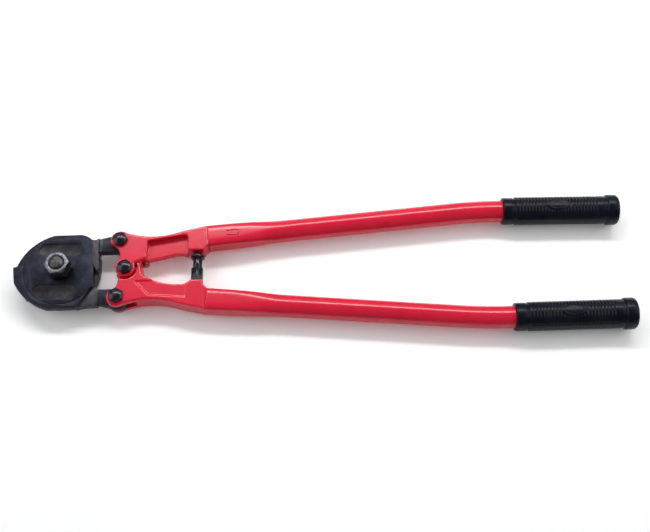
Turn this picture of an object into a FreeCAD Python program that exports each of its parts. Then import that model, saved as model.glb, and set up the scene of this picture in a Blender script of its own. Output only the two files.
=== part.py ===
"""Compound-lever wire rope and bolt cutters, 600 mm class, lying flat with the jaws closed.

+X runs from the jaws to the grips, +Y towards the upper handle, and +Z up through the front
face. Everything is modelled about the jaw pivot at mid-thickness and moved to its frame at the end.
"""
import FreeCAD, Part

import math
import os

os.makedirs("parts", exist_ok=True)

Vec = FreeCAD.Vector

# ---- driving dimensions, mm and degrees -------------------------------------------------

# linkage, from the jaw pivot
centre_link_x = 62.0        # jaw pivot to the pivot that joins the two handles
link_back = 6.4             # tang pivots sit this far ahead of the centre link
link_side = 29.9            # and this far to each side of it
pivot_slack = 2.15          # play of the centre link at its worst handle angle

# clearances
run_gap = 0.05              # radial, a pin in a hole it turns in
seat_gap = 0.02             # radial, a fixed piece in its hole
face_gap = 0.3              # between bodies that pass each other

# jaws
hub_radius = 36.0           # the round joint between the two jaw plates
jaw_front_z = 8.0
jaw_rear_z = -7.0
jaw_split_z = 0.0
shoulder_x = 34.4           # where the jaw plates step down to their tangs
shoulder_front_z = 7.2
lower_shoulder_z = 5.0
heel_rear_z = -2.0
tang_half = 4.0             # half-thickness of the tangs and of the lower casting's tongue
tang_inner_y = 20.0
tang_outer_y = 36.8
tang_eye_radius = 10.5
skirt_radius = 38.6         # the lower jaw's rear skirt, set in from its front rim
skirt_rear_radius = 36.9    # and drawn in again towards the rear
skirt_top_z = 2.0
badge_depth = 0.8

# jaw pivot
pivot_bolt_d = 14.0
pivot_bush_wall = 2.0
pivot_hex = 21.0
pivot_head_h = 6.75
pivot_washer_d = 30.0
pivot_washer_h = 1.5
pivot_lock_nut_h = 6.0
pivot_nut_h = 10.4
pivot_bolt_proud = 1.0

# link pivots
link_bolt_d = 8.0
link_hex = 13.0
link_head_h = 5.3
link_washer_d = 17.0
link_washer_h = 1.2
link_nut_h = 3.8
tang_bush_wall = 1.6

# castings
casting_half = 10.0         # half-thickness around the pivots
casting_end_half = 9.0      # half-thickness at the tube
ear_radius = 9.9
lobe_radius = 9.6
casting_bevel = 1.2
casting_length = 79.0       # centre link to the tube's mouth
casting_end_side = 33.6     # the tube's centre there, from the tool's axis
casting_end_width = 21.4
pad_side = 17.7             # the upper casting's flat pad for the stop bolt
boss_side = 13.7            # the lower casting's boss under the stop bolt
stop_x = 130.9
panel_depth = 1.6           # the lower casting's shallow panel
web_half = 3.2              # half-thickness of the upper casting's web

# stop bolt and adjusting screw
stop_thread_d = 8.0
stop_neck_d = 8.9
stop_cap_d = 13.8
stop_cap_h = 8.2
stop_nut_hex = 11.0
stop_nut_h = 14.6
stop_buried = 12.0
adjuster_d = 6.0
adjuster_proud = 4.2

# tubes and grips
tube_d = 21.7
tube_wall = 2.0
tube_end_width = 24.0       # the tube's oval mouth, across the tool
tube_end_height = 20.0      # and through it
tube_taper = 92.0
tube_splay = 5.1            # angle between a tube and the tool's axis
tube_bend = 5.6             # how far the tube turns back before the grip
bend_distance = 267.0       # mouth to the middle of the bend
bend_radius = 490.0
tube_after_bend = 139.5     # middle of the bend to the tube's end
spigot_length = 42.0
spigot_gap = 0.15
pin_d = 4.0
pin_pitch = 18.0
grip_length = 116.5
grip_d = 28.0
grip_flange_d = 30.5
grip_flange_h = 11.0
grip_end = 4.0
grip_collar = 11.0
grip_gap = 0.02

# ---- derived places ---------------------------------------------------------------------

jaw_pivot = Vec(0, 0, 0)
centre_link = Vec(centre_link_x, 0, 0)
upper_link = Vec(centre_link_x - link_back, link_side, 0)
lower_link = Vec(centre_link_x - link_back, -link_side, 0)
tube_mouth = Vec(centre_link_x + casting_length, casting_end_side, 0)
pivot_bush_r = pivot_bolt_d / 2 + pivot_bush_wall
tang_bush_r = link_bolt_d / 2 + tang_bush_wall
recess_radius = lobe_radius + pivot_slack + face_gap
fork_half = tang_half + face_gap


# ---- shape helpers ----------------------------------------------------------------------

def disc(centre, radius, z_low, z_high):
    """An upright cylinder."""
    return Part.makeCylinder(radius, z_high - z_low, Vec(centre.x, centre.y, z_low))


def ring(centre, outer, inner, z_low, z_high):
    """An upright tube, such as a bush or a washer."""
    return disc(centre, outer, z_low, z_high).cut(disc(centre, inner, z_low, z_high))


def outline(start, moves):
    """A closed wire: each move is an end point, or a pair of mid point and end point for an arc."""
    edges = []
    here = Vec(start[0], start[1], 0)
    for move in moves:
        if isinstance(move[0], tuple):
            middle = Vec(move[0][0], move[0][1], 0)
            there = Vec(move[1][0], move[1][1], 0)
            edges.append(Part.Arc(here, middle, there).toShape())
        else:
            there = Vec(move[0], move[1], 0)
            edges.append(Part.LineSegment(here, there).toShape())
        here = there
    return Part.Wire(edges)


def plate(start, moves, z_low, z_high):
    """An outline raised between two heights."""
    face = Part.Face(outline(start, moves))
    face.translate(Vec(0, 0, z_low))
    return face.extrude(Vec(0, 0, z_high - z_low))


def polygon(points, z_low, z_high):
    """A straight-sided plate."""
    return plate(points[0], points[1:] + points[:1], z_low, z_high)


def hexagon(centre, across_flats, z_low, z_high, turn=0.0):
    """A hexagonal prism; at turn 0 a corner points along +X."""
    reach = across_flats / math.sqrt(3)
    corners = []
    for side in range(6):
        angle = math.radians(turn + 60 * side)
        corners.append((centre.x + reach * math.cos(angle), centre.y + reach * math.sin(angle)))
    return polygon(corners, z_low, z_high)


def chamfered_hexagon(centre, across_flats, z_low, z_high, turn, low_end, high_end):
    """A nut or bolt head: the corners are turned off at the ends that are asked for."""
    nut = hexagon(centre, across_flats, z_low, z_high, turn)
    reach = across_flats / math.sqrt(3)
    drop = (reach - across_flats / 2) * math.tan(math.radians(30))
    rise = z_high - z_low
    envelope = disc(centre, reach, z_low, z_high)
    if high_end:
        cone = Part.makeCone(reach, across_flats / 2 * 0.97, drop * 1.2,
                             Vec(centre.x, centre.y, z_high - drop * 1.2))
        keep = disc(centre, reach, z_low, z_high - drop * 1.2).fuse(cone)
        envelope = envelope.common(keep)
    if low_end:
        cone = Part.makeCone(across_flats / 2 * 0.97, reach, drop * 1.2,
                             Vec(centre.x, centre.y, z_low))
        keep = disc(centre, reach, z_low + drop * 1.2, z_low + rise).fuse(cone)
        envelope = envelope.common(keep)
    return nut.common(envelope)


def edges_at(shape, height, tolerance=0.01):
    """The edges that lie wholly at one height."""
    found = []
    for edge in shape.Edges:
        box = edge.BoundBox
        if abs(box.ZMin - height) < tolerance and abs(box.ZMax - height) < tolerance:
            found.append(edge)
    return found


def mirrored(shape):
    """The same piece on the other side of the tool's axis."""
    return shape.mirror(Vec(0, 0, 0), Vec(0, 1, 0))


# ---- jaws -------------------------------------------------------------------------------

# The closed jaws make one D: a straight nose, a round back, a flat belly and a slanting heel.
nose_top = (-46.3, 3.2)
nose_low = (-43.7, -13.1)
upper_tip = (-42.3, 4.5)
seam_slope = (upper_tip[1] - nose_top[1]) / (upper_tip[0] - nose_top[0])
heel_corner = (32.0, -16.4)
heel_foot = (19.6, -37.4)


def head_plate(z_low, z_high):
    """The whole D-shaped outline of the closed jaws, without the shoulders."""
    return plate(nose_top, [
        upper_tip,
        ((-30.0, 24.7), (-8.6, 36.9)),
        (16.8, 37.2),
        ((22.6, 35.4), (27.4, 32.0)),
        (29.8, 5.4),
        (31.3, 3.2),
        heel_corner,
        heel_foot,
        ((17.6, -39.4), (14.6, -40.4)),
        (-11.0, -40.4),
        ((-29.8, -30.2), nose_low),
        nose_top,
    ], z_low, z_high)


def lower_side(raise_by, z_low, z_high):
    """Everything below the seam of the mouth, which follows the ledge of the nose."""
    far = 70.0
    left = nose_top[1] - (far + nose_top[0]) * seam_slope + raise_by
    inner = nose_top[1] + (-30.0 - nose_top[0]) * seam_slope + raise_by
    return polygon([(-far, left), (-30.0, inner), (0, raise_by), (far, raise_by),
                    (far, -far), (-far, -far)], z_low, z_high)


def edge_grind(sign):
    """The wedge ground off the rear of a cutting edge; sign +1 is the upper jaw."""
    edge_z = 4.6
    depth = 4.2
    y_here = nose_top[1] + sign * face_gap / 2
    length = 26.0
    wedge = Part.Face(Part.makePolygon([
        Vec(0, -sign * 1.0, jaw_rear_z - 1),
        Vec(0, sign * depth, jaw_rear_z - 1),
        Vec(0, 0, edge_z),
        Vec(0, -sign * 1.0, edge_z),
        Vec(0, -sign * 1.0, jaw_rear_z - 1),
    ])).extrude(Vec(length, 0, 0))
    wedge.rotate(Vec(0, 0, 0), Vec(0, 0, 1), math.degrees(math.atan(seam_slope)))
    wedge.translate(Vec(nose_top[0] - 4.0, y_here - 4.0 * seam_slope, 0))
    return wedge


def tang(link, side, z_low, z_high):
    """The arm from a jaw's shoulder to its link eye; side is +1 for the upper jaw."""
    arm = polygon([
        (shoulder_x - 2.0, side * tang_inner_y),
        (link.x - 2.0, side * tang_inner_y),
        (link.x, link.y),
        (link.x - 1.0, side * (link_side + tang_eye_radius - 0.4)),
        (link.x - 9.0, side * tang_outer_y),
        (shoulder_x - 2.0, side * (tang_outer_y - 3.4)),
    ], z_low, z_high)
    return arm.fuse(disc(link, tang_eye_radius, z_low, z_high))


def badge(centre_x, centre_y, length, width):
    """A shallow oval sunk into the front face."""
    half = (length - width) / 2
    r = width / 2
    return plate((centre_x - half, centre_y - r), [
        (centre_x + half, centre_y - r),
        ((centre_x + half + r, centre_y), (centre_x + half, centre_y + r)),
        (centre_x - half, centre_y + r),
        ((centre_x - half - r, centre_y), (centre_x - half, centre_y - r)),
    ], jaw_front_z - badge_depth, jaw_front_z + 1)


def make_upper_jaw():
    """The front plate with the band and the upper tang; it carries most of the D."""
    hub = disc(jaw_pivot, hub_radius - face_gap / 2, jaw_rear_z, jaw_front_z)
    hub_hole = disc(jaw_pivot, hub_radius + face_gap / 2, jaw_rear_z - 1, jaw_split_z + face_gap / 2)
    kept_off = lower_side(face_gap / 2, jaw_rear_z - 1, jaw_front_z + 1)
    front = head_plate(jaw_split_z + face_gap / 2, jaw_front_z).cut(kept_off.cut(hub))
    back = head_plate(jaw_rear_z, jaw_split_z + face_gap / 2).cut(kept_off)
    band = plate((20.0, 8.0), [
        (20.0, 30.0),
        (26.6, 32.2),
        (31.6, 31.6),
        (shoulder_x, tang_outer_y - 3.4),
        (shoulder_x, 17.4),
        (shoulder_x + 1.2, 15.4),
        (shoulder_x + 1.8, 0.6),
        (shoulder_x, -1.6),
        (31.4, 4.2),
        (29.0, 8.0),
        (20.0, 8.0),
    ], jaw_rear_z, shoulder_front_z)
    arm = tang(upper_link, 1, -tang_half, tang_half)
    jaw = front.fuse(back).fuse(band).fuse(arm).cut(hub_hole)
    jaw = jaw.cut(edge_grind(1).cut(hub))
    jaw = jaw.cut(disc(jaw_pivot, pivot_bush_r + run_gap, jaw_rear_z - 1, jaw_front_z + 1))
    jaw = jaw.cut(disc(upper_link, tang_bush_r + seat_gap, -20, 20))
    jaw = jaw.cut(badge(-2.0, 21.0, 41.0, 13.6)).cut(badge(-4.4, -23.2, 42.0, 16.0))
    return jaw.removeSplitter()


def make_lower_jaw():
    """The rear plate with the hooked nose, the raised rim, the heel and the lower tang."""
    split = jaw_split_z - face_gap / 2
    below = lower_side(-face_gap / 2, jaw_rear_z - 1, jaw_front_z + 1)
    hub_hole = disc(jaw_pivot, hub_radius + face_gap / 2, split, jaw_front_z + 1)
    hub = disc(jaw_pivot, hub_radius - face_gap / 2, jaw_rear_z, split)
    rim = head_plate(skirt_top_z, jaw_front_z).common(below)
    skirt = Part.makeCone(skirt_rear_radius, skirt_radius, skirt_top_z - jaw_rear_z,
                          Vec(0, 0, jaw_rear_z))
    skirt = skirt.common(below).common(head_plate(jaw_rear_z, skirt_top_z))
    nose_block = polygon([(-60, -60), (-33, -60), (-33, 60), (-60, 60)], jaw_rear_z, jaw_front_z)
    nose = head_plate(jaw_rear_z, jaw_front_z).common(below).common(nose_block)
    nose = nose.cut(polygon([(-60, -60), (-20, -60), (-36.5, -20.5), (-60, -17.0)],
                            jaw_rear_z - 1, skirt_top_z))
    heel = polygon([
        (heel_corner[0] - 1.0, heel_corner[1] - 0.6),
        (shoulder_x + 1.4, heel_corner[1] - 2.2),
        (shoulder_x + 1.8, -tang_inner_y - 1.0),
        (shoulder_x + 2.8, -tang_outer_y - 0.2),
        (24.0, -tang_outer_y - 0.8),
        (heel_foot[0] - 3.0, heel_foot[1] - 1.8),
        (heel_foot[0] - 2.0, heel_foot[1] + 4.0),
    ], heel_rear_z, lower_shoulder_z)
    arm = tang(lower_link, -1, -tang_half, tang_half)
    jaw = rim.fuse(skirt).fuse(nose).fuse(heel).fuse(arm).cut(hub_hole).fuse(hub)
    jaw = jaw.cut(edge_grind(-1).cut(disc(jaw_pivot, hub_radius - face_gap / 2, -20, 20)))
    jaw = jaw.cut(disc(jaw_pivot, pivot_bush_r + seat_gap, jaw_rear_z - 1, jaw_front_z + 1))
    jaw = jaw.cut(disc(lower_link, tang_bush_r + seat_gap, -20, 20))
    return jaw.removeSplitter()


# ---- jaw pivot --------------------------------------------------------------------------

bush_low_z = jaw_rear_z
bush_high_z = jaw_front_z + face_gap
head_high_z = jaw_rear_z - pivot_washer_h
head_low_z = head_high_z - pivot_head_h
lock_nut_top_z = bush_high_z + pivot_lock_nut_h
nut_top_z = lock_nut_top_z + pivot_nut_h
bolt_top_z = nut_top_z + pivot_bolt_proud


def make_jaw_pivot_bolt():
    """The centre bolt, put in from the rear, with a turned-down point."""
    shank_r = pivot_bolt_d / 2
    point = 1.2
    shank = disc(jaw_pivot, shank_r, head_high_z - 0.5, bolt_top_z - point)
    tip = Part.makeCone(shank_r, shank_r - point, point, Vec(0, 0, bolt_top_z - point))
    head = chamfered_hexagon(jaw_pivot, pivot_hex, head_low_z, head_high_z, 5, False, False)
    return head.fuse(shank).fuse(tip).removeSplitter()


def make_pivot_nut(z_low, z_high, low_end, high_end):
    """A nut of the jaw pivot; both stand with the same turn."""
    nut = chamfered_hexagon(jaw_pivot, pivot_hex, z_low, z_high, 5, low_end, high_end)
    return nut.cut(disc(jaw_pivot, pivot_bolt_d / 2 + seat_gap, z_low - 1, z_high + 1))


# ---- castings ---------------------------------------------------------------------------

def from_centre(x, y):
    """A point given from the centre link."""
    return (centre_link_x + x, y)


def casting_end(across):
    """A point on the casting's end face, measured across the tube from its centre."""
    tilt = math.radians(tube_splay)
    return (tube_mouth.x - across * math.sin(tilt), tube_mouth.y + across * math.cos(tilt))


def casting_body(inner_edge, z_half):
    """The forged arm from the ears to the tube, above the axis."""
    half = casting_end_width / 2
    arm = plate(from_centre(-8.4, 2.0), [
        from_centre(-13.0, link_side - 4.0),
        from_centre(-link_back - 2.0, link_side + ear_radius - 0.3),
        from_centre(-link_back + 2.4, link_side + ear_radius - 0.4),
        (from_centre(21.5, link_side + 3.7), from_centre(54.0, link_side + 8.9)),
        casting_end(half),
    ] + inner_edge + [from_centre(-8.4, 2.0)], -z_half, z_half)
    arm = arm.fuse(disc(upper_link, ear_radius, -z_half, z_half))
    arm = arm.fuse(disc(centre_link, lobe_radius, -z_half, z_half))
    waist = Vec(centre_link_x - 17.6, (link_side - 2.7) / 2, 0)
    arm = arm.cut(disc(waist, 11.5, -z_half - 1, z_half + 1))
    return arm.removeSplitter()


def bevelled(body):
    """The front and rear rims of the arm turned off, except around the centre link's lobe."""
    rims = []
    for edge in edges_at(body, casting_half) + edges_at(body, -casting_half):
        middle = edge.valueAt((edge.FirstParameter + edge.LastParameter) / 2)
        if math.hypot(middle.x - centre_link.x, middle.y - centre_link.y) > recess_radius:
            rims.append(edge)
    return body.makeChamfer(casting_bevel, rims)


def thinned(body, half_here, half_end):
    """Planes off the front and rear of the arm so that it thins evenly towards the tube."""
    start_x = centre_link_x + 20.0
    end_x = tube_mouth.x + 6.0
    for sign in (1, -1):
        wedge = Part.Face(Part.makePolygon([
            Vec(start_x, 0, sign * half_here),
            Vec(end_x, 0, sign * half_end),
            Vec(end_x, 0, sign * (half_here + 5)),
            Vec(start_x, 0, sign * (half_here + 5)),
            Vec(start_x, 0, sign * half_here),
        ])).extrude(Vec(0, 80, 0))
        body = body.cut(wedge)
    return body


def spigot(inset, start, length):
    """The tongue that the tube slides over: the tube's own taper, set in from its surface."""
    return tube_taper_solid(inset, start, start + length)


def tang_slot():
    """The slot that a tang works in, open towards the jaws and along the outer edge."""
    eye = disc(upper_link, tang_eye_radius + 0.6, -fork_half, fork_half)
    mouth = polygon([
        (upper_link.x - 30, upper_link.y - tang_eye_radius - 0.6),
        (upper_link.x, upper_link.y - tang_eye_radius - 0.6),
        (upper_link.x + tang_eye_radius + 0.6, upper_link.y),
        (centre_link_x + 13.0, upper_link.y + 4.5),
        (centre_link_x + 14.0, upper_link.y + 20),
        (upper_link.x - 30, upper_link.y + 20),
    ], -fork_half, fork_half)
    return eye.fuse(mouth)


def link_hole(link):
    """The clearance-fitted hole for a link bolt."""
    return disc(link, link_bolt_d / 2 + seat_gap, -casting_half - 1, casting_half + 1)


def pin_places():
    """Centres of the two locking pins along the spigot."""
    along = Vec(math.cos(math.radians(tube_splay)), math.sin(math.radians(tube_splay)), 0)
    first = spigot_length / 2 - pin_pitch / 2
    return [tube_mouth + along * (first + pin_pitch * number) for number in range(2)]


def pin_holes():
    """Blind holes for the locking pins, drilled from the rear."""
    holes = [disc(place, pin_d / 2 + seat_gap, -tube_end_height, 0) for place in pin_places()]
    return holes[0].fuse(holes[1])


def make_upper_casting():
    """The forked casting, with an I-section arm: its cheeks clasp the lower casting's tongue."""
    inner = [
        casting_end(-casting_end_width / 2),
        (tube_mouth.x - 1.6, pad_side + 3.4),
        (stop_x + 7.0, pad_side),
        (stop_x - 8.6, pad_side),
        from_centre(59.6, 14.1),
        (from_centre(53.5, 16.0), from_centre(46.0, 15.4)),
        (from_centre(34.0, 12.5), from_centre(20.4, 9.6)),
        from_centre(14.2, 7.2),
        from_centre(0, 0),
    ]
    body = casting_body(inner, casting_half)
    body = thinned(bevelled(body), casting_half, casting_end_half)
    body = body.cut(tang_slot())
    body = body.cut(disc(centre_link, recess_radius, -fork_half, fork_half))
    for z_low, z_high in ((web_half, casting_half + 1), (-casting_half - 1, -web_half)):
        body = body.cut(plate(from_centre(20.4, 0.0), [
            from_centre(20.4, link_side - 3.1),
            (from_centre(21.0, link_side - 1.7), from_centre(22.6, link_side - 1.2)),
            from_centre(55.0, link_side + 4.2),
            (from_centre(58.6, link_side + 3.7), from_centre(59.8, link_side + 0.3)),
            from_centre(60.6, 0.0),
            from_centre(20.4, 0.0),
        ], z_low, z_high))
    body = body.cut(link_hole(upper_link)).cut(link_hole(centre_link))
    body = body.fuse(spigot(tube_wall + spigot_gap, -1.0, spigot_length + 1.0))
    body = body.cut(pin_holes()).cut(adjuster_solid(adjuster_d / 2 + seat_gap, 10.0, 3.0))
    return body.removeSplitter()


def make_lower_casting():
    """The tongued casting, drawn above the axis and mirrored: it also carries the stop bolt."""
    inner = [
        casting_end(-casting_end_width / 2),
        (stop_x + 7.4, boss_side + 5.6),
        (stop_x + 6.0, boss_side),
        (stop_x - 5.6, boss_side),
        (from_centre(58.0, 17.6), from_centre(52.0, 18.0)),
        (from_centre(30.0, 14.2), from_centre(16.6, 6.3)),
        from_centre(15.4, -2.0),
        (from_centre(14.6, -4.6), from_centre(13.0, -5.4)),
        from_centre(0, 0),
    ]
    body = casting_body(inner, casting_half)
    body = thinned(bevelled(body), casting_half, casting_end_half)
    body = body.cut(tang_slot())
    for z_low, z_high in ((tang_half, casting_half + 1), (-casting_half - 1, -tang_half)):
        body = body.cut(disc(centre_link, recess_radius, z_low, z_high))
    panel = polygon([
        (centre_link_x + 10.5, 14.6),
        (centre_link_x + 60.0, 12.0),
        (centre_link_x + 59.0, link_side + 2.0),
        (centre_link_x + 24.0, link_side - 0.6),
    ], casting_end_half + 0.8 - panel_depth * 0.5, casting_half + 1)
    body = body.cut(panel)
    body = body.cut(link_hole(upper_link))
    body = body.cut(disc(centre_link, link_bolt_d / 2 + pivot_slack + face_gap, -20, 20))
    body = body.fuse(spigot(tube_wall + spigot_gap, -1.0, spigot_length + 1.0))
    body = body.cut(pin_holes())
    thread = Part.makeCylinder(stop_thread_d / 2 + seat_gap, stop_buried + 0.5,
                               Vec(stop_x, boss_side - 0.01, 0), Vec(0, 1, 0))
    body = body.cut(thread)
    return mirrored(body.removeSplitter())


# ---- tubes and grips --------------------------------------------------------------------

def along_tube(distance):
    """A point on the straight first run of the upper tube."""
    tilt = math.radians(tube_splay)
    return tube_mouth + Vec(math.cos(tilt), math.sin(tilt), 0) * distance


def section_wire(distance, inset):
    """The tube's section across the first run: an oval that becomes round over the taper."""
    share = min(max(distance / tube_taper, 0.0), 1.0)
    width = tube_end_width / 2 * (1 - share) + tube_d / 2 * share - inset
    height = tube_end_height / 2 * (1 - share) + tube_d / 2 * share - inset
    tilt = math.radians(tube_splay)
    along = Vec(math.cos(tilt), math.sin(tilt), 0)
    across = Vec(-math.sin(tilt), math.cos(tilt), 0)
    if share < 1.0:
        curve = Part.Ellipse(Vec(0, 0, 0), width, height).toShape()
    else:
        curve = Part.Circle(Vec(0, 0, 0), Vec(0, 0, 1), width).toShape()
    turn = FreeCAD.Rotation(across, Vec(0, 0, 1), along, "XYZ")
    curve.Placement = FreeCAD.Placement(along_tube(distance), turn)
    return Part.Wire([curve])


def tube_taper_solid(inset, start, end):
    """The tapered stretch of the tube, as a solid with its surface set in."""
    return Part.makeLoft([section_wire(start, inset), section_wire(end, inset)], True, True)


bend_half = math.radians(tube_bend / 2)
bend_tangent = bend_radius * math.tan(bend_half)
after_tilt = math.radians(tube_splay - tube_bend)
bend_middle = along_tube(bend_distance)
bend_start = along_tube(bend_distance - bend_tangent)
after_direction = Vec(math.cos(after_tilt), math.sin(after_tilt), 0)
bend_end = bend_middle + after_direction * bend_tangent
tube_end = bend_middle + after_direction * tube_after_bend


def round_tube_solid(radius):
    """The round stretch of the tube: straight, a long bend, and straight under the grip."""
    start = along_tube(tube_taper)
    first = Vec(bend_start.x - start.x, bend_start.y - start.y, 0)
    inward = Vec(math.sin(math.radians(tube_splay)), -math.cos(math.radians(tube_splay)), 0)
    bend_centre = bend_start + inward * bend_radius
    run_in = Part.makeCylinder(radius, first.Length, start, first)
    ring_face = Part.Face(Part.Wire([Part.Circle(bend_start, first, radius).toShape()]))
    bend = ring_face.revolve(bend_centre, Vec(0, 0, -1), tube_bend)
    run_out = Part.makeCylinder(radius, tube_after_bend - bend_tangent, bend_end, after_direction)
    return run_in.fuse(bend).fuse(run_out)


def make_upper_tube():
    """A steel tube with an oval mouth and a slight bend before the grip."""
    outer = tube_taper_solid(0.0, 0.0, tube_taper).fuse(round_tube_solid(tube_d / 2))
    inner = tube_taper_solid(tube_wall, 0.0, tube_taper)
    inner = inner.fuse(round_tube_solid(tube_d / 2 - tube_wall))
    return outer.cut(inner).cut(pin_holes()).removeSplitter()


def make_tube_pins():
    """Two spring pins driven through the tube's rear wall into the casting's spigot."""
    pins = []
    for place in pin_places():
        pins.append(disc(place, pin_d / 2, -tube_end_height / 2 + 0.3, -1.0))
    return Part.Compound(pins)


def make_upper_grip():
    """A dipped vinyl grip: a plain collar, a ribbed body and a flanged, closed end."""
    r_in = tube_d / 2 + grip_gap
    r_body = grip_d / 2
    r_flange = grip_flange_d / 2
    closed = grip_length - grip_end
    profile = [
        (r_in, 0.0), (r_body - 1.6, 0.0), (r_body - 0.5, 1.2), (r_body - 0.5, grip_collar),
        (r_body - 1.3, grip_collar + 0.4), (r_body - 1.3, grip_collar + 1.8),
        (r_body, grip_collar + 2.4), (r_body, grip_length - grip_flange_h - 1.4),
        (r_flange, grip_length - grip_flange_h), (r_flange, grip_length - 3.2),
        (r_flange - 1.0, grip_length - 1.0), (r_flange - 3.2, grip_length),
        (0.0, grip_length), (0.0, closed + grip_gap), (r_in, closed + grip_gap),
    ]
    points = [Vec(distance, radius, 0) for radius, distance in profile]
    face = Part.Face(Part.makePolygon(points + points[:1]))
    grip = face.revolve(Vec(0, 0, 0), Vec(1, 0, 0), 360)
    grip.rotate(Vec(0, 0, 0), Vec(0, 0, 1), math.degrees(after_tilt))
    grip.translate(tube_end - after_direction * closed)
    return grip


# ---- link pivots ------------------------------------------------------------------------

def make_link_bolt(link, turn):
    """A hexagon-headed link bolt with a domed head; its nut and washer are at the rear."""
    low = -casting_half - link_washer_h - link_nut_h
    top = casting_half + link_head_h
    head = hexagon(link, link_hex, casting_half, top, turn)
    dome_r = link_hex * 0.95
    dome = Part.makeSphere(dome_r, Vec(link.x, link.y, top - dome_r))
    head = head.common(dome)
    return head.fuse(disc(link, link_bolt_d / 2, low, casting_half + 0.5)).removeSplitter()


def make_link_washer(link):
    """The plain washer under a link nut."""
    bore = link_bolt_d / 2 + seat_gap
    return ring(link, link_washer_d / 2, bore, -casting_half - link_washer_h, -casting_half)


def make_link_nut(link, turn):
    """The thin lock nut of a link bolt."""
    high = -casting_half - link_washer_h
    nut = chamfered_hexagon(link, link_hex, high - link_nut_h, high, turn, True, False)
    return nut.cut(disc(link, link_bolt_d / 2 + seat_gap, high - link_nut_h - 1, high + 1))


def make_tang_bush(link):
    """A hardened bush pressed into a tang, turning on the link bolt."""
    return ring(link, tang_bush_r, link_bolt_d / 2 + run_gap, -tang_half, tang_half)


# ---- stop bolt and adjusting screw ------------------------------------------------------

def y_cylinder(radius, y_low, y_high):
    """A cylinder along the stop bolt's axis."""
    return Part.makeCylinder(radius, y_high - y_low, Vec(stop_x, y_low, 0), Vec(0, 1, 0))


def make_stop_bolt():
    """The domed stop that keeps the closed handles apart; it screws into the lower boss."""
    contact = pad_side - face_gap
    cap_r = stop_cap_d / 2
    cap = y_cylinder(cap_r, contact - stop_cap_h, contact)
    dome = Part.makeSphere(cap_r * 1.25, Vec(stop_x, contact - cap_r * 1.25, 0))
    foot = Part.makeSphere(cap_r * 1.25, Vec(stop_x, contact - stop_cap_h + cap_r * 1.25, 0))
    cap = cap.common(dome).common(foot)
    neck = y_cylinder(stop_neck_d / 2, -boss_side + stop_nut_h, contact - stop_cap_h + 1.0)
    thread = y_cylinder(stop_thread_d / 2, -boss_side - stop_buried, -boss_side + stop_nut_h)
    return cap.fuse(neck).fuse(thread).removeSplitter()


def make_stop_nut():
    """The long lock nut that holds the stop bolt's setting against the boss."""
    reach = stop_nut_hex / math.sqrt(3)
    corners = []
    for side in range(6):
        angle = math.radians(30 + 60 * side)
        corners.append(Vec(stop_x + reach * math.cos(angle), -boss_side, reach * math.sin(angle)))
    face = Part.Face(Part.makePolygon(corners + corners[:1]))
    nut = face.extrude(Vec(0, stop_nut_h, 0))
    return nut.cut(y_cylinder(stop_thread_d / 2 + seat_gap, -boss_side - 1, -boss_side + stop_nut_h + 1))


def adjuster_solid(radius, buried, proud):
    """A cylinder along the adjusting screw's axis, into the upper casting's inner edge."""
    seat = Vec(centre_link_x + 17.9, 8.8, 0)
    lean = Vec(0.36, -0.93, 0)
    lean.normalize()
    return Part.makeCylinder(radius, buried + proud, seat - lean * buried, lean)


def make_adjusting_screw():
    """The set screw that trims how far the blades close, standing out beside the centre link."""
    return adjuster_solid(adjuster_d / 2, 9.5, adjuster_proud)


# ---- build ------------------------------------------------------------------------------

pieces = {
    "upper_jaw": make_upper_jaw(),
    "lower_jaw": make_lower_jaw(),
    "jaw_pivot_bolt": make_jaw_pivot_bolt(),
    "jaw_pivot_bush": ring(jaw_pivot, pivot_bush_r, pivot_bolt_d / 2 + seat_gap,
                           bush_low_z, bush_high_z),
    "jaw_pivot_washer": ring(jaw_pivot, pivot_washer_d / 2, pivot_bolt_d / 2 + seat_gap,
                             head_high_z, jaw_rear_z),
    "jaw_lock_nut": make_pivot_nut(bush_high_z, lock_nut_top_z, False, True),
    "jaw_pivot_nut": make_pivot_nut(lock_nut_top_z, nut_top_z, True, True),
    "upper_casting": make_upper_casting(),
    "lower_casting": make_lower_casting(),
    "upper_tang_bush": make_tang_bush(upper_link),
    "lower_tang_bush": make_tang_bush(lower_link),
    "upper_link_bolt": make_link_bolt(upper_link, 0),
    "lower_link_bolt": make_link_bolt(lower_link, 30),
    "centre_link_bolt": make_link_bolt(centre_link, 18),
    "upper_link_washers": Part.Compound([make_link_washer(upper_link),
                                         make_link_washer(centre_link)]),
    "lower_link_washer": make_link_washer(lower_link),
    "upper_link_nut": make_link_nut(upper_link, 12),
    "centre_link_nut": make_link_nut(centre_link, 40),
    "lower_link_nut": make_link_nut(lower_link, 25),
    "upper_tube": make_upper_tube(),
    "lower_tube": mirrored(make_upper_tube()),
    "upper_tube_pins": make_tube_pins(),
    "lower_tube_pins": mirrored(make_tube_pins()),
    "upper_grip": make_upper_grip(),
    "lower_grip": mirrored(make_upper_grip()),
    "stop_bolt": make_stop_bolt(),
    "stop_nut": make_stop_nut(),
    "adjusting_screw": make_adjusting_screw(),
}

whole = Part.Compound(list(pieces.values()))
box = whole.optimalBoundingBox(False)
shift = Vec(-(box.XMin + box.XMax) / 2, -(box.YMin + box.YMax) / 2, -box.ZMin)

for name, shape in pieces.items():
    shape.translate(shift)
    shape.exportStep("parts/" + name + ".step")
    print(name, len(shape.Solids), "valid" if shape.isValid() else "INVALID",
          round(shape.Volume, 1))

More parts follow.
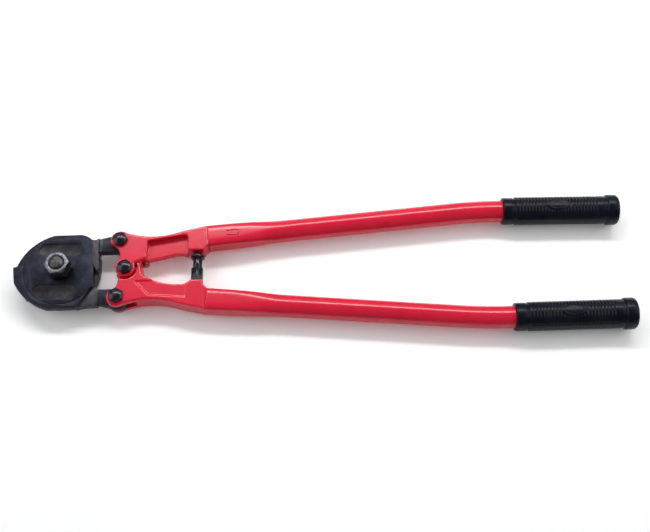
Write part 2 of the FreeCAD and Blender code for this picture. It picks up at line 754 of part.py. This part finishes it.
print("size", round(box.XLength, 2), round(box.YLength, 2), round(box.ZLength, 2))
for label, place in (("jaw_pivot", jaw_pivot), ("upper_link", upper_link),
                     ("lower_link", lower_link), ("centre_link", centre_link)):
    spot = place + shift
    print(label, round(spot.x, 4), round(spot.y, 4), round(spot.z, 4))
print("head_face_z", round(head_low_z + shift.z, 4))
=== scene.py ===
"""Compound-lever cutters, 600 mm class, lying flat with the jaws closed.

Metres. +X runs from the jaws to the grips, +Y towards the upper handle, +Z up from the bench.
"""

import math

import bmesh
import bpy
from mathutils import Matrix, Vector


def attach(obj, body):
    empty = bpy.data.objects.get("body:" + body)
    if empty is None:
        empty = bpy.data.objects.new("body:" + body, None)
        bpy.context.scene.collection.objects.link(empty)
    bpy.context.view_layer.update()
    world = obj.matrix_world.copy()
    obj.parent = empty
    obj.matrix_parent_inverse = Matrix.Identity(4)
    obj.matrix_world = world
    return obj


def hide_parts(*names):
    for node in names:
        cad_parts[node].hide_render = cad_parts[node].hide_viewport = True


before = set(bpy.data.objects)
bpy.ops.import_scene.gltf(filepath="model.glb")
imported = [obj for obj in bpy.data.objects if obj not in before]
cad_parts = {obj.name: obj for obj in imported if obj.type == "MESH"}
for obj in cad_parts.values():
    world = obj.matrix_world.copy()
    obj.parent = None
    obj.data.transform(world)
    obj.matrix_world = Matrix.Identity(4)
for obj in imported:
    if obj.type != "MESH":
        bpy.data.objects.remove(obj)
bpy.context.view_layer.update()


# ---- bench, lamps and camera ------------------------------------------------------------
# The cutters lie on a wide white bench, which gives off a little light of its own and so keeps
# their shadows pale. A thin tube lamp hangs beyond them with a dim soft panel behind it, bright
# panels stand at both ends, and the room's pale walls fill the rest.

mm = 0.001
scene = bpy.context.scene
scene.view_settings.view_transform = "Standard"


class Wire:
    """A node's output; arithmetic on it adds Math nodes to the same material."""

    def __init__(self, tree, output):
        self.tree = tree
        self.output = output

    def node(self, kind, settings, sockets, result=0):
        """Adds a node, its settings first and then its sockets' values or wires."""
        made = self.tree.nodes.new(kind)
        for name, value in settings.items():
            setattr(made, name, value)
        for key, value in sockets.items():
            if isinstance(value, Wire):
                self.tree.links.new(value.output, made.inputs[key])
            else:
                made.inputs[key].default_value = value
        return Wire(self.tree, made.outputs[result])

    def maths(self, operation, *values):
        return self.node("ShaderNodeMath", {"operation": operation}, dict(enumerate(values)))

    def __add__(self, other):
        return self.maths("ADD", self, other)

    def __sub__(self, other):
        return self.maths("SUBTRACT", self, other)

    def __rsub__(self, other):
        return self.maths("SUBTRACT", other, self)

    def __mul__(self, other):
        return self.maths("MULTIPLY", self, other)

    __radd__ = __add__
    __rmul__ = __mul__

    def ramp(self, start, end):
        """0 up to the start, 1 from the end on, and smooth between them."""
        return self.node("ShaderNodeMapRange", {"interpolation_type": "SMOOTHSTEP"},
                         {"Value": self, "From Min": start, "From Max": end})

    def blend(self, low, high):
        """Two colours mixed by this wire."""
        return self.node("ShaderNodeMix", {"data_type": "RGBA"}, {0: self, 6: low, 7: high}, 2)

    def noise(self, size, detail=2.0, roughness=0.5):
        """Cloudy noise whose blots are about this many metres across."""
        return self.node("ShaderNodeTexNoise", {}, {"Vector": self, "Scale": 1.0 / size,
                                                    "Detail": detail, "Roughness": roughness})

    def axis(self, number):
        """One coordinate of a position."""
        return self.node("ShaderNodeSeparateXYZ", {}, {0: self}, number)

    def into(self, shader, socket):
        self.tree.links.new(self.output, shader.inputs[socket])

    def bump_into(self, shader, depth, strength=1.0):
        """This height raises the surface by up to the depth."""
        bump = self.node("ShaderNodeBump", {}, {"Height": self, "Distance": depth,
                                                "Strength": strength})
        bump.into(shader, "Normal")


def new_finish(name, constants):
    """A material with plain values on its shader; gives it, its shader and its coordinates."""
    finish = bpy.data.materials.new(name)
    finish.use_nodes = True
    shader = finish.node_tree.nodes["Principled BSDF"]
    for socket, value in constants.items():
        shader.inputs[socket].default_value = value
    places = finish.node_tree.nodes.new("ShaderNodeTexCoord").outputs["Object"]
    return finish, shader, Wire(finish.node_tree, places)


bench_finish, shader, place = new_finish("bench_laminate", {
    "Roughness": 0.75, "Specular IOR Level": 0.2,
    "Emission Color": (1.0, 1.0, 1.0, 1), "Emission Strength": 0.12})
place.noise(60 * mm, 3.0).blend((0.90, 0.90, 0.905, 1), (0.92, 0.92, 0.92, 1)).into(
    shader, "Base Color")

bench_mesh = bmesh.new()
bmesh.ops.create_grid(bench_mesh, x_segments=2, y_segments=2, size=4.0)
bench_data = bpy.data.meshes.new("bench")
bench_mesh.to_mesh(bench_data)
bench_mesh.free()
bench_data.materials.append(bench_finish)
bench = bpy.data.objects.new("bench", bench_data)
scene.collection.objects.link(bench)


def add_lamp(name, spot, length, width, radiance):
    """A flat rectangular lamp that faces the middle of the cutters."""
    lamp = bpy.data.lights.new(name, "AREA")
    lamp.shape = "RECTANGLE"
    lamp.size = length
    lamp.size_y = width
    lamp.energy = radiance * math.pi * length * width
    holder = bpy.data.objects.new(name, lamp)
    holder.location = spot
    holder.rotation_euler = (-Vector(spot)).to_track_quat("-Z", "Y").to_euler()
    scene.collection.objects.link(holder)


add_lamp("tube_lamp", (0.05, 0.82, 1.20), 1.7, 0.18, 15.0)
add_lamp("soft_panel", (0.0, 1.30, 1.25), 3.0, 1.6, 0.60)
add_lamp("left_panel", (-1.75, 0.15, 1.35), 1.6, 1.6, 2.0)
add_lamp("right_panel", (1.75, 0.15, 1.35), 1.6, 1.6, 2.0)

room = bpy.data.worlds.new("room")
room.use_nodes = True
room.node_tree.nodes["Background"].inputs["Color"].default_value = (0.95, 0.97, 1.0, 1)
room.node_tree.nodes["Background"].inputs["Strength"].default_value = 0.18
scene.world = room

camera_aim = Vector((3.3, 1.2, 15.25)) * mm
camera_back = Vector((-9.4, -371.8, 797.5)) * mm
camera_tilt = math.radians(25.0)
camera_turn = math.radians(-1.45)
camera_data = bpy.data.cameras.new("camera")
camera_data.lens = 49.85
camera_data.sensor_width = 36.0
camera = bpy.data.objects.new("camera", camera_data)
camera.location = camera_aim + camera_back
camera.rotation_euler = (camera_tilt, 0, camera_turn)
scene.collection.objects.link(camera)
scene.camera = camera


# ---- jaws -------------------------------------------------------------------------------
# Two drop-forged tool-steel plates that close to one D around the pivot. They are machined on
# their faces and blacked all over; the shoulders next to the tangs were ground after blacking.

jaw_pivot = Vector((-252.1327, 0.0, 15.25)) * mm
jaw_edge_width = 0.2 * mm
# From the pivot, the bands over which one surface gives way to the next.
plate_end = (28.4 * mm, 28.8 * mm)
tang_start = (36.8 * mm, 37.4 * mm)
under_face = (7.4 * mm, 7.7 * mm)
oval_floor = (6.6 * mm, 6.9 * mm)
heel_edge = (-0.7 * mm, -0.3 * mm)

black_oxide, shader, place = new_finish("black_oxide_on_forging", {"Specular IOR Level": 0.4,
                                                                   "Metallic": 0.9})
patches = place.noise(9 * mm, 4.0, 0.6)
grain = place.noise(0.45 * mm, 2.0)
from_pivot = place.axis(0) - jaw_pivot.x
height = place.axis(2) - jaw_pivot.z
past_heel = 0.861 * (from_pivot - 32.0 * mm) - 0.508 * (place.axis(1) + 16.4 * mm)
past_plate = from_pivot.ramp(*plate_end)
shoulder = past_plate.maths("MAXIMUM", past_plate, past_heel.ramp(*heel_edge))
below_face = 1 - height.ramp(*under_face)
ground = shoulder * below_face * (1 - from_pivot.ramp(*tang_start))
sunk = below_face * height.ramp(*oval_floor) * (1 - shoulder)
blotch = patches.ramp(0.3, 0.7)
blacked = blotch.blend((0.015, 0.016, 0.026, 1), (0.025, 0.026, 0.038, 1))
scaled = blotch.blend((0.020, 0.019, 0.024, 1), (0.046, 0.041, 0.044, 1))
bare = blotch.blend((0.032, 0.031, 0.036, 1), (0.070, 0.067, 0.074, 1))
sunk.blend(ground.blend(blacked, bare), scaled).into(shader, "Base Color")
(0.46 - 0.1 * patches + 0.12 * grain).into(shader, "Roughness")
cast_skin = sunk * place.noise(2.4 * mm, 3.0, 0.6) * 2.0
(grain * 0.25 + place.noise(3.5 * mm, 2.0) + cast_skin).bump_into(shader, 0.12 * mm, 0.55)


def merged_copy(node):
    """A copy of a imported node's mesh with its corners joined, for a piece to start from."""
    mesh = bmesh.new()
    mesh.from_mesh(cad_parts[node].data)
    bmesh.ops.remove_doubles(mesh, verts=mesh.verts, dist=0.0005 * mm)
    return mesh


def add_piece(mesh, name, body, nodes, finish):
    """Makes a finished mesh a piece that rides on a body and stands for any nodes listed."""
    data = bpy.data.meshes.new(name)
    mesh.to_mesh(data)
    mesh.free()
    data.materials.append(finish)
    data.shade_smooth()
    piece = bpy.data.objects.new(name, data)
    scene.collection.objects.link(piece)
    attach(piece, body)
    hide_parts(*nodes)
    return piece


def soften(mesh, width, bevel_angle=0.5):
    """Joins flat faces and turns off every sharp edge a little, as tumbling does."""
    bmesh.ops.dissolve_limit(mesh, angle_limit=0.01, verts=mesh.verts, edges=mesh.edges)
    sharp = [edge for edge in mesh.edges
             if edge.is_manifold and edge.calc_face_angle(0) > bevel_angle]
    bmesh.ops.bevel(mesh, geom=sharp, offset=width, affect="EDGES", segments=2, profile=0.5,
                    material=-1, clamp_overlap=True)
    return mesh


def shade_by_angle(piece, degrees=30.0):
    """Keeps flat faces flat where a smooth shade would blur their edges."""
    piece.data.set_sharp_from_angle(angle=math.radians(degrees))


for jaw in ("upper_jaw", "lower_jaw"):
    shade_by_angle(add_piece(soften(merged_copy(jaw), jaw_edge_width, 0.7), jaw + "_forging", jaw,
                             [jaw], black_oxide), 35.0)


# ---- castings ---------------------------------------------------------------------------
# The two forged handle arms, forked and tongued where they meet. They are shot-blasted and
# dipped in thick red enamel, which leaves soft edges and a faint ripple.

casting_grain = 0.45 * mm
casting_passes = 14

red_enamel, shader, place = new_finish("red_enamel", {"Specular IOR Level": 0.5, "IOR": 1.47})
ripple = place.noise(5 * mm, 2.0)
patches = place.noise(22 * mm, 3.0)
patches.ramp(0.25, 0.75).blend((0.62, 0.009, 0.035, 1), (0.68, 0.012, 0.043, 1)).into(
    shader, "Base Color")
(0.15 + 0.06 * ripple).into(shader, "Roughness")
(ripple + 0.2 * place.noise(1.2 * mm)).bump_into(shader, 0.02 * mm, 0.25)


def round_off(piece, grain, passes):
    """Evens the mesh out and eases its edges, as forging and a thick finish do."""
    even = piece.modifiers.new("even", "REMESH")
    even.mode = "VOXEL"
    even.voxel_size = grain
    even.use_smooth_shade = True
    ease = piece.modifiers.new("ease", "SMOOTH")
    ease.factor = 0.5
    ease.iterations = passes


for side in ("upper", "lower"):
    arm = add_piece(merged_copy(side + "_casting"), side + "_casting_forging", side + "_handle",
                    [side + "_casting"], red_enamel)
    round_off(arm, casting_grain, casting_passes)


# ---- tubes ------------------------------------------------------------------------------
# Drawn steel tubes, pressed to a flat-sided mouth that is driven over the casting's tongue,
# bent slightly before the grip and enamelled together with the castings.

mouth_from_pivot = Vector((141.0, 33.6, 0.0)) * mm
splay = math.radians(5.1)
bend = math.radians(5.6)
bend_distance = 267.0 * mm
bend_radius = 490.0 * mm
after_bend = 139.5 * mm
tube_radius = 10.85 * mm
tube_wall = 2.0 * mm
taper = 92.0 * mm
mouth_half = Vector((11.7, 10.0)) * mm
mouth_squareness = 2.6      # added to an ellipse's power of 2
square_length = 18.0 * mm   # how far the section stays as square as that
square_fade = 54.0 * mm     # and how far it takes to lose it
tangent = bend_radius * math.tan(bend / 2)
bend_start = bend_distance - tangent
bend_length = bend_radius * bend
run = bend_start + bend_length + after_bend - tangent


def along_tube(distance):
    """The upper tube's centre and its direction's angle, that far from the mouth."""
    start = jaw_pivot + mouth_from_pivot
    if distance < bend_start:
        return start + Vector((math.cos(splay), math.sin(splay), 0)) * distance, splay
    turned = min((distance - bend_start) / bend_radius, bend)
    centre = start + Vector((math.cos(splay), math.sin(splay), 0)) * bend_start
    centre += Vector((math.sin(splay), -math.cos(splay), 0)) * bend_radius
    angle = splay - turned
    point = centre + Vector((-math.sin(angle), math.cos(angle), 0)) * bend_radius
    left = max(distance - bend_start - bend_length, 0.0)
    return point + Vector((math.cos(angle), math.sin(angle), 0)) * left, angle


def put_ring(ring, distance, inset):
    """Moves one ring of corners to the tube's section there, set in from its surface."""
    share = min(distance / taper, 1.0)
    half = mouth_half * (1 - share) + Vector((tube_radius, tube_radius)) * share
    square = 1.0 - min(max((distance - square_length) / square_fade, 0.0), 1.0)
    power = 2.0 + mouth_squareness * square * square * (3 - 2 * square)
    point, angle = along_tube(distance)
    across = Vector((-math.sin(angle), math.cos(angle), 0))
    for number, corner in enumerate(ring):
        turn = 2 * math.pi * number / len(ring)
        c, s = math.cos(turn), math.sin(turn)
        width = math.copysign(abs(c) ** (2 / power), c) * (half.x - inset)
        rise = math.copysign(abs(s) ** (2 / power), s) * (half.y - inset)
        corner.co = point + across * width + Vector((0, 0, rise))


def extrude_ring(mesh, ring):
    """Extrudes a ring of corners and gives the new ring in the same order."""
    loop = []
    for corner, after in zip(ring, ring[1:] + ring[:1]):
        loop += [edge for edge in corner.link_edges if edge.other_vert(corner) is after]
    made = bmesh.ops.extrude_edge_only(mesh, edges=loop)["geom"]
    fresh = {item for item in made if isinstance(item, bmesh.types.BMVert)}
    ordered = []
    for corner in ring:
        ordered += [edge.other_vert(corner) for edge in corner.link_edges
                    if edge.other_vert(corner) in fresh]
    return ordered


def make_tube():
    """The upper tube's wall, outside and inside, as one closed skin."""
    mesh = bmesh.new()
    ring = bmesh.ops.create_circle(mesh, cap_ends=False, segments=96, radius=tube_radius)["verts"]
    put_ring(ring, 0.5 * mm, 1.0 * mm)
    stops = [(0.0, 1.0 * mm), (0.0, 0.35 * mm), (0.3 * mm, 0.08 * mm), (0.7 * mm, 0.0)]
    stops += [(4 * mm * step, 0.0) for step in range(1, 24)]
    stops += [(taper + 12 * mm * step, 0.0) for step in range(1, 11)]
    stops += [(bend_start + bend_length * step / 12, 0.0) for step in range(13)]
    stops += [(run - 40 * mm, 0.0), (run, 0.0), (run, tube_wall)]
    stops += [(bend_start + bend_length * step / 6, tube_wall) for step in range(6, -1, -1)]
    stops += [(taper, tube_wall), (taper / 2, tube_wall), (1.0 * mm, tube_wall)]
    for distance, inset in stops:
        ring = extrude_ring(mesh, ring)
        put_ring(ring, distance, inset)
    bmesh.ops.bridge_loops(mesh, edges=[edge for edge in mesh.edges if edge.is_boundary])
    bmesh.ops.recalc_face_normals(mesh, faces=mesh.faces)
    return mesh


def turned_over(mesh):
    """The same piece on the lower side of the cutters."""
    bmesh.ops.transform(mesh, matrix=Matrix.Diagonal((1, -1, 1, 1)), verts=mesh.verts)
    bmesh.ops.reverse_faces(mesh, faces=mesh.faces)
    return mesh


add_piece(make_tube(), "upper_tube_skin", "upper_handle", ["upper_tube"], red_enamel)
add_piece(turned_over(make_tube()), "lower_tube_skin", "lower_handle", ["lower_tube"], red_enamel)


# ---- tube mark --------------------------------------------------------------------------
# A plain oval outline on the upper tube. It is pressed up from the flat near the mouth, before the
# tube is enamelled, and its foot reaches a little below the flat.

mark_from_mouth = 24.5 * mm
mark_half = Vector((6.4, 3.1)) * mm
mark_line = 0.9 * mm
mark_foot = 0.38 * mm
mark_rise = 0.67 * mm
mark_edge = 0.25 * mm

mesh = bmesh.new()
bmesh.ops.create_circle(mesh, cap_ends=True, segments=48, radius=1.0)
for corner in mesh.verts:
    x, y = corner.co.x, corner.co.y
    corner.co.x = math.copysign(abs(x) ** 0.45, x) * mark_half.x
    corner.co.y = math.copysign(abs(y) ** 0.6, y) * mark_half.y
line_faces = bmesh.ops.inset_region(mesh, faces=mesh.faces[:], use_boundary=True,
                                    use_even_offset=True, thickness=mark_line)["faces"]
middle = [face for face in mesh.faces if face not in line_faces]
bmesh.ops.delete(mesh, geom=middle, context="FACES")
raised = bmesh.ops.extrude_face_region(mesh, geom=mesh.faces[:])["geom"]
top = [item for item in raised if isinstance(item, bmesh.types.BMVert)]
bmesh.ops.translate(mesh, vec=(0, 0, mark_foot + mark_rise), verts=top)
bmesh.ops.recalc_face_normals(mesh, faces=mesh.faces)
rims = [edge for edge in mesh.edges if all(corner in top for corner in edge.verts)]
bmesh.ops.bevel(mesh, geom=rims, offset=mark_edge, affect="EDGES", segments=3, profile=0.5,
                material=-1)
point, angle = along_tube(mark_from_mouth)
share = mark_from_mouth / taper
flat = mouth_half.y * (1 - share) + tube_radius * share
bmesh.ops.translate(mesh, vec=(0, 0, flat - mark_foot), verts=mesh.verts)
bmesh.ops.rotate(mesh, cent=(0, 0, 0), matrix=Matrix.Rotation(angle, 3, "Z"), verts=mesh.verts)
bmesh.ops.translate(mesh, vec=point, verts=mesh.verts)
add_piece(mesh, "tube_mark", "upper_handle", [], red_enamel)


# ---- grips ------------------------------------------------------------------------------
# Glossy black vinyl, moulded in one piece and pushed over the tube's end: a plain collar, a
# groove, rows of fine cross ribs with a plain oval pad, and a rounded flange.

grip_length = 116.5 * mm
grip_end = 4.0 * mm
grip_radius = 14.0 * mm
grip_bore = 10.87 * mm
rib_start = 15.5 * mm
rib_end = 96.0 * mm
rib_pitch = 3.2 * mm
rib_depth = 0.6 * mm
pad_middle = 54.7 * mm
pad_half = Vector((10.4, 5.0)) * mm
pad_steps = ((0.86, 0.15 * mm), (1.12, -0.12 * mm), (1.25, 0.45 * mm))  # reach, depth
row_grooves = (36.0, 58.0, 80.0)        # degrees from the top, between rows of ribs
row_groove_half = 1.6                   # degrees
row_groove_depth = 0.35 * mm
row_strength = (1.0, 0.4, 0.2, 0.1)     # the ribs fade down the sides

black_vinyl, shader, place = new_finish("black_vinyl", {"Specular IOR Level": 0.3, "IOR": 1.33})
cloud = place.noise(14 * mm, 3.0)
cloud.ramp(0.3, 0.7).blend((0.0025, 0.0035, 0.008, 1), (0.005, 0.007, 0.014, 1)).into(
    shader, "Base Color")
(0.24 + 0.10 * cloud).into(shader, "Roughness")
place.noise(0.8 * mm, 2.0).bump_into(shader, 0.01 * mm, 0.2)


def rib_rise(along, degrees):
    """How far the ribbed surface lies below the grip's full radius."""
    turn = min(degrees, 180 - degrees)
    arc = math.radians(turn) * grip_radius
    oval = math.hypot((along - pad_middle) / pad_half.x, arc / pad_half.y)
    for reach, depth in pad_steps:
        if oval < reach:
            return depth
    if not rib_start < along < rib_end:
        return 0.0
    if min(abs(turn - groove) for groove in row_grooves) < row_groove_half:
        return row_groove_depth
    passed = sum(turn > groove for groove in row_grooves)
    wave = 0.5 - 0.5 * math.cos(2 * math.pi * (along - rib_start) / rib_pitch)
    return rib_depth * wave ** 1.5 * row_strength[passed]


def make_grip():
    """A grip turned about the tube's end: the profile is spun, then the ribs are pressed in."""
    profile = [
        (0.4, grip_bore / mm), (0.0, 11.6), (0.15, 12.5), (0.7, 13.2), (1.8, 13.5), (10.4, 13.5),
        (11.0, 13.3), (11.3, 12.7), (12.4, 12.7), (12.8, 13.6), (13.6, 14.0), (101.4, 14.0),
        (102.6, 13.7), (104.0, 13.8), (104.5, 14.6), (105.2, 15.1), (106.2, 15.25), (112.6, 15.25),
        (114.4, 15.0), (115.7, 14.0), (116.3, 12.2), (116.5, 9.5), (116.5, 0.0),
    ]
    closed = grip_length - grip_end
    profile += [(closed / mm + 0.02, 0.0), (closed / mm + 0.02, grip_bore / mm)]
    mesh = bmesh.new()
    corners = [mesh.verts.new((x * mm, 0, r * mm)) for x, r in profile]
    tip = len(profile) - 3      # the edge after it would lie on the axis, so it is left out
    edges = [mesh.edges.new(pair) for number, pair in
             enumerate(zip(corners, corners[1:] + corners[:1])) if number != tip]
    body = [edge for edge in edges
            if edge.calc_length() > 50 * mm and edge.verts[0].co.z > 13.9 * mm]
    bmesh.ops.subdivide_edges(mesh, edges=body, cuts=175)
    bmesh.ops.spin(mesh, geom=mesh.verts[:] + mesh.edges[:], cent=(0, 0, 0), axis=(1, 0, 0),
                   angle=2 * math.pi, steps=144, use_merge=True)
    bmesh.ops.remove_doubles(mesh, verts=mesh.verts, dist=0.001 * mm)
    bmesh.ops.recalc_face_normals(mesh, faces=mesh.faces)
    for corner in mesh.verts:
        radius = math.hypot(corner.co.y, corner.co.z)
        if abs(radius - grip_radius) < 0.01 * mm and 14 * mm < corner.co.x < 102 * mm:
            degrees = abs(math.degrees(math.atan2(corner.co.y, corner.co.z)))
            scale = 1 - rib_rise(corner.co.x, degrees) / radius
            corner.co.y *= scale
            corner.co.z *= scale
    end, angle = along_tube(run)
    bmesh.ops.translate(mesh, vec=(-closed, 0, 0), verts=mesh.verts)
    bmesh.ops.rotate(mesh, cent=(0, 0, 0), matrix=Matrix.Rotation(angle, 3, "Z"), verts=mesh.verts)
    bmesh.ops.translate(mesh, vec=end, verts=mesh.verts)
    return mesh


add_piece(make_grip(), "upper_grip_moulding", "upper_handle", ["upper_grip"], black_vinyl)
add_piece(turned_over(make_grip()), "lower_grip_moulding", "lower_handle", ["lower_grip"],
          black_vinyl)


# ---- jaw pivot --------------------------------------------------------------------------
# A large hexagon bolt, put in from the rear, runs in a hard bush through both jaws. A blacked
# nut locks it, and a plain machined nut with turned-off corners stands on that one.

nut_bore = 7.02 * mm
nut_countersink = 0.9 * mm
bolt_end_rim = (6.6 * mm, 7.0 * mm)
tool_mark_pitch = 0.35 * mm

machined_steel, shader, place = new_finish("machined_steel", {"Metallic": 1.0})
out_x = place.axis(0) - jaw_pivot.x
out_y = place.axis(1)
squared = out_x * out_x + out_y * out_y
radius = squared.maths("SQRT", squared)
stain = place.noise(3 * mm, 4.0, 0.6)
turns = radius * (2 * math.pi / tool_mark_pitch)
tool_marks = turns.maths("SINE", turns)
inside = 1 - radius.ramp(*bolt_end_rim)
plain = stain.ramp(0.3, 0.75).blend((0.10, 0.10, 0.12, 1), (0.21, 0.21, 0.24, 1))
end_grain = stain.ramp(0.35, 0.65).blend((0.035, 0.032, 0.034, 1), (0.10, 0.092, 0.088, 1))
inside.blend(plain, end_grain).into(shader, "Base Color")
(0.3 + 0.16 * stain).into(shader, "Roughness")
(tool_marks * 0.3 + stain).bump_into(shader, 0.05 * mm, 0.4)

gloss_black, shader, place = new_finish("black_oxide_on_fasteners", {"Specular IOR Level": 0.5,
                                                                     "Metallic": 0.5})
stain = place.noise(2.2 * mm, 3.0, 0.6)
stain.ramp(0.3, 0.7).blend((0.010, 0.010, 0.015, 1), (0.026, 0.025, 0.032, 1)).into(
    shader, "Base Color")
(0.14 + 0.12 * stain).into(shader, "Roughness")
stain.bump_into(shader, 0.04 * mm, 0.4)

nut = merged_copy("jaw_pivot_nut")
bmesh.ops.dissolve_limit(nut, angle_limit=0.01, verts=nut.verts, edges=nut.edges)
top = max(corner.co.z for corner in nut.verts)
mouth = [edge for edge in nut.edges
         if all(abs(corner.co.z - top) < 0.01 * mm
                and (corner.co - jaw_pivot).xy.length < nut_bore + 0.05 * mm
                for corner in edge.verts)]
bmesh.ops.bevel(nut, geom=mouth, offset=nut_countersink, affect="EDGES", segments=1, profile=0.5,
                material=-1)
for mesh, name, node, finish, finish_slot in (
        (soften(nut, 0.18 * mm), "jaw_pivot_nut_turned", "jaw_pivot_nut", machined_steel,
         "nut_steel"),
        (soften(merged_copy("jaw_pivot_bolt"), 0.3 * mm), "jaw_pivot_bolt_turned",
         "jaw_pivot_bolt", machined_steel, "nut_steel"),
        (soften(merged_copy("jaw_lock_nut"), 0.25 * mm), "jaw_lock_nut_turned", "jaw_lock_nut",
         gloss_black, "black_fastener"),
        (soften(merged_copy("jaw_pivot_washer"), 0.2 * mm), "jaw_pivot_washer_turned",
         "jaw_pivot_washer", gloss_black, "black_fastener")):
    shade_by_angle(add_piece(mesh, name, "lower_jaw", [node], finish))


# ---- link pivots ------------------------------------------------------------------------
# Three blacked bolts with domed hexagon heads, each with a plain washer and a thin lock nut
# underneath. The heads are cold-forged, so their corners and rims are soft.

for body, bolts, others in (
        ("upper_handle", ("upper_link_bolt", "centre_link_bolt"),
         ("upper_link_nut", "centre_link_nut", "upper_link_washers")),
        ("lower_handle", ("lower_link_bolt",), ("lower_link_nut", "lower_link_washer"))):
    for node in bolts:
        shade_by_angle(add_piece(soften(merged_copy(node), 0.45 * mm, 0.4), node + "_forged", body,
                                 [node], gloss_black), 40.0)
    for node in others:
        shade_by_angle(add_piece(soften(merged_copy(node), 0.2 * mm), node + "_turned", body,
                                 [node], gloss_black))


# ---- stop bolt and adjusting screw ------------------------------------------------------
# The domed stop and its long lock nut are blacked; the set screw beside the centre link was in
# place when the casting was dipped, so enamel covers most of it.

dull_red, shader, place = new_finish("thin_enamel_on_screw", {})
chips = place.noise(1.6 * mm, 3.0, 0.6)
chips.ramp(0.45, 0.6).blend((0.42, 0.010, 0.026, 1), (0.16, 0.012, 0.020, 1)).into(
    shader, "Base Color")
(0.3 + 0.2 * chips).into(shader, "Roughness")
chips.bump_into(shader, 0.08 * mm, 0.5)

for node in ("stop_bolt", "stop_nut"):
    shade_by_angle(add_piece(soften(merged_copy(node), 0.3 * mm), node + "_turned",
                             "lower_handle", [node], gloss_black), 35.0)
shade_by_angle(add_piece(soften(merged_copy("adjusting_screw"), 0.5 * mm),
                         "adjusting_screw_turned", "upper_handle", ["adjusting_screw"], dull_red))


# ---- bushes and pins --------------------------------------------------------------------
# Ground hard-steel bushes sit in the jaws and tangs, and two spring pins lock each tube to its
# casting from the rear. The pins were enamelled with the tubes.

ground_steel, shader, place = new_finish("ground_steel", {"Metallic": 1.0})
haze = place.noise(1.5 * mm, 3.0)
haze.ramp(0.3, 0.7).blend((0.30, 0.30, 0.31, 1), (0.42, 0.42, 0.43, 1)).into(shader, "Base Color")
(0.22 + 0.16 * haze).into(shader, "Roughness")

for finish, nodes in ((ground_steel, ("jaw_pivot_bush", "upper_tang_bush", "lower_tang_bush")),
                      (red_enamel, ("upper_tube_pins", "lower_tube_pins"))):
    for node in nodes:
        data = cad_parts[node].data
        data.materials.clear()
        data.materials.append(finish)
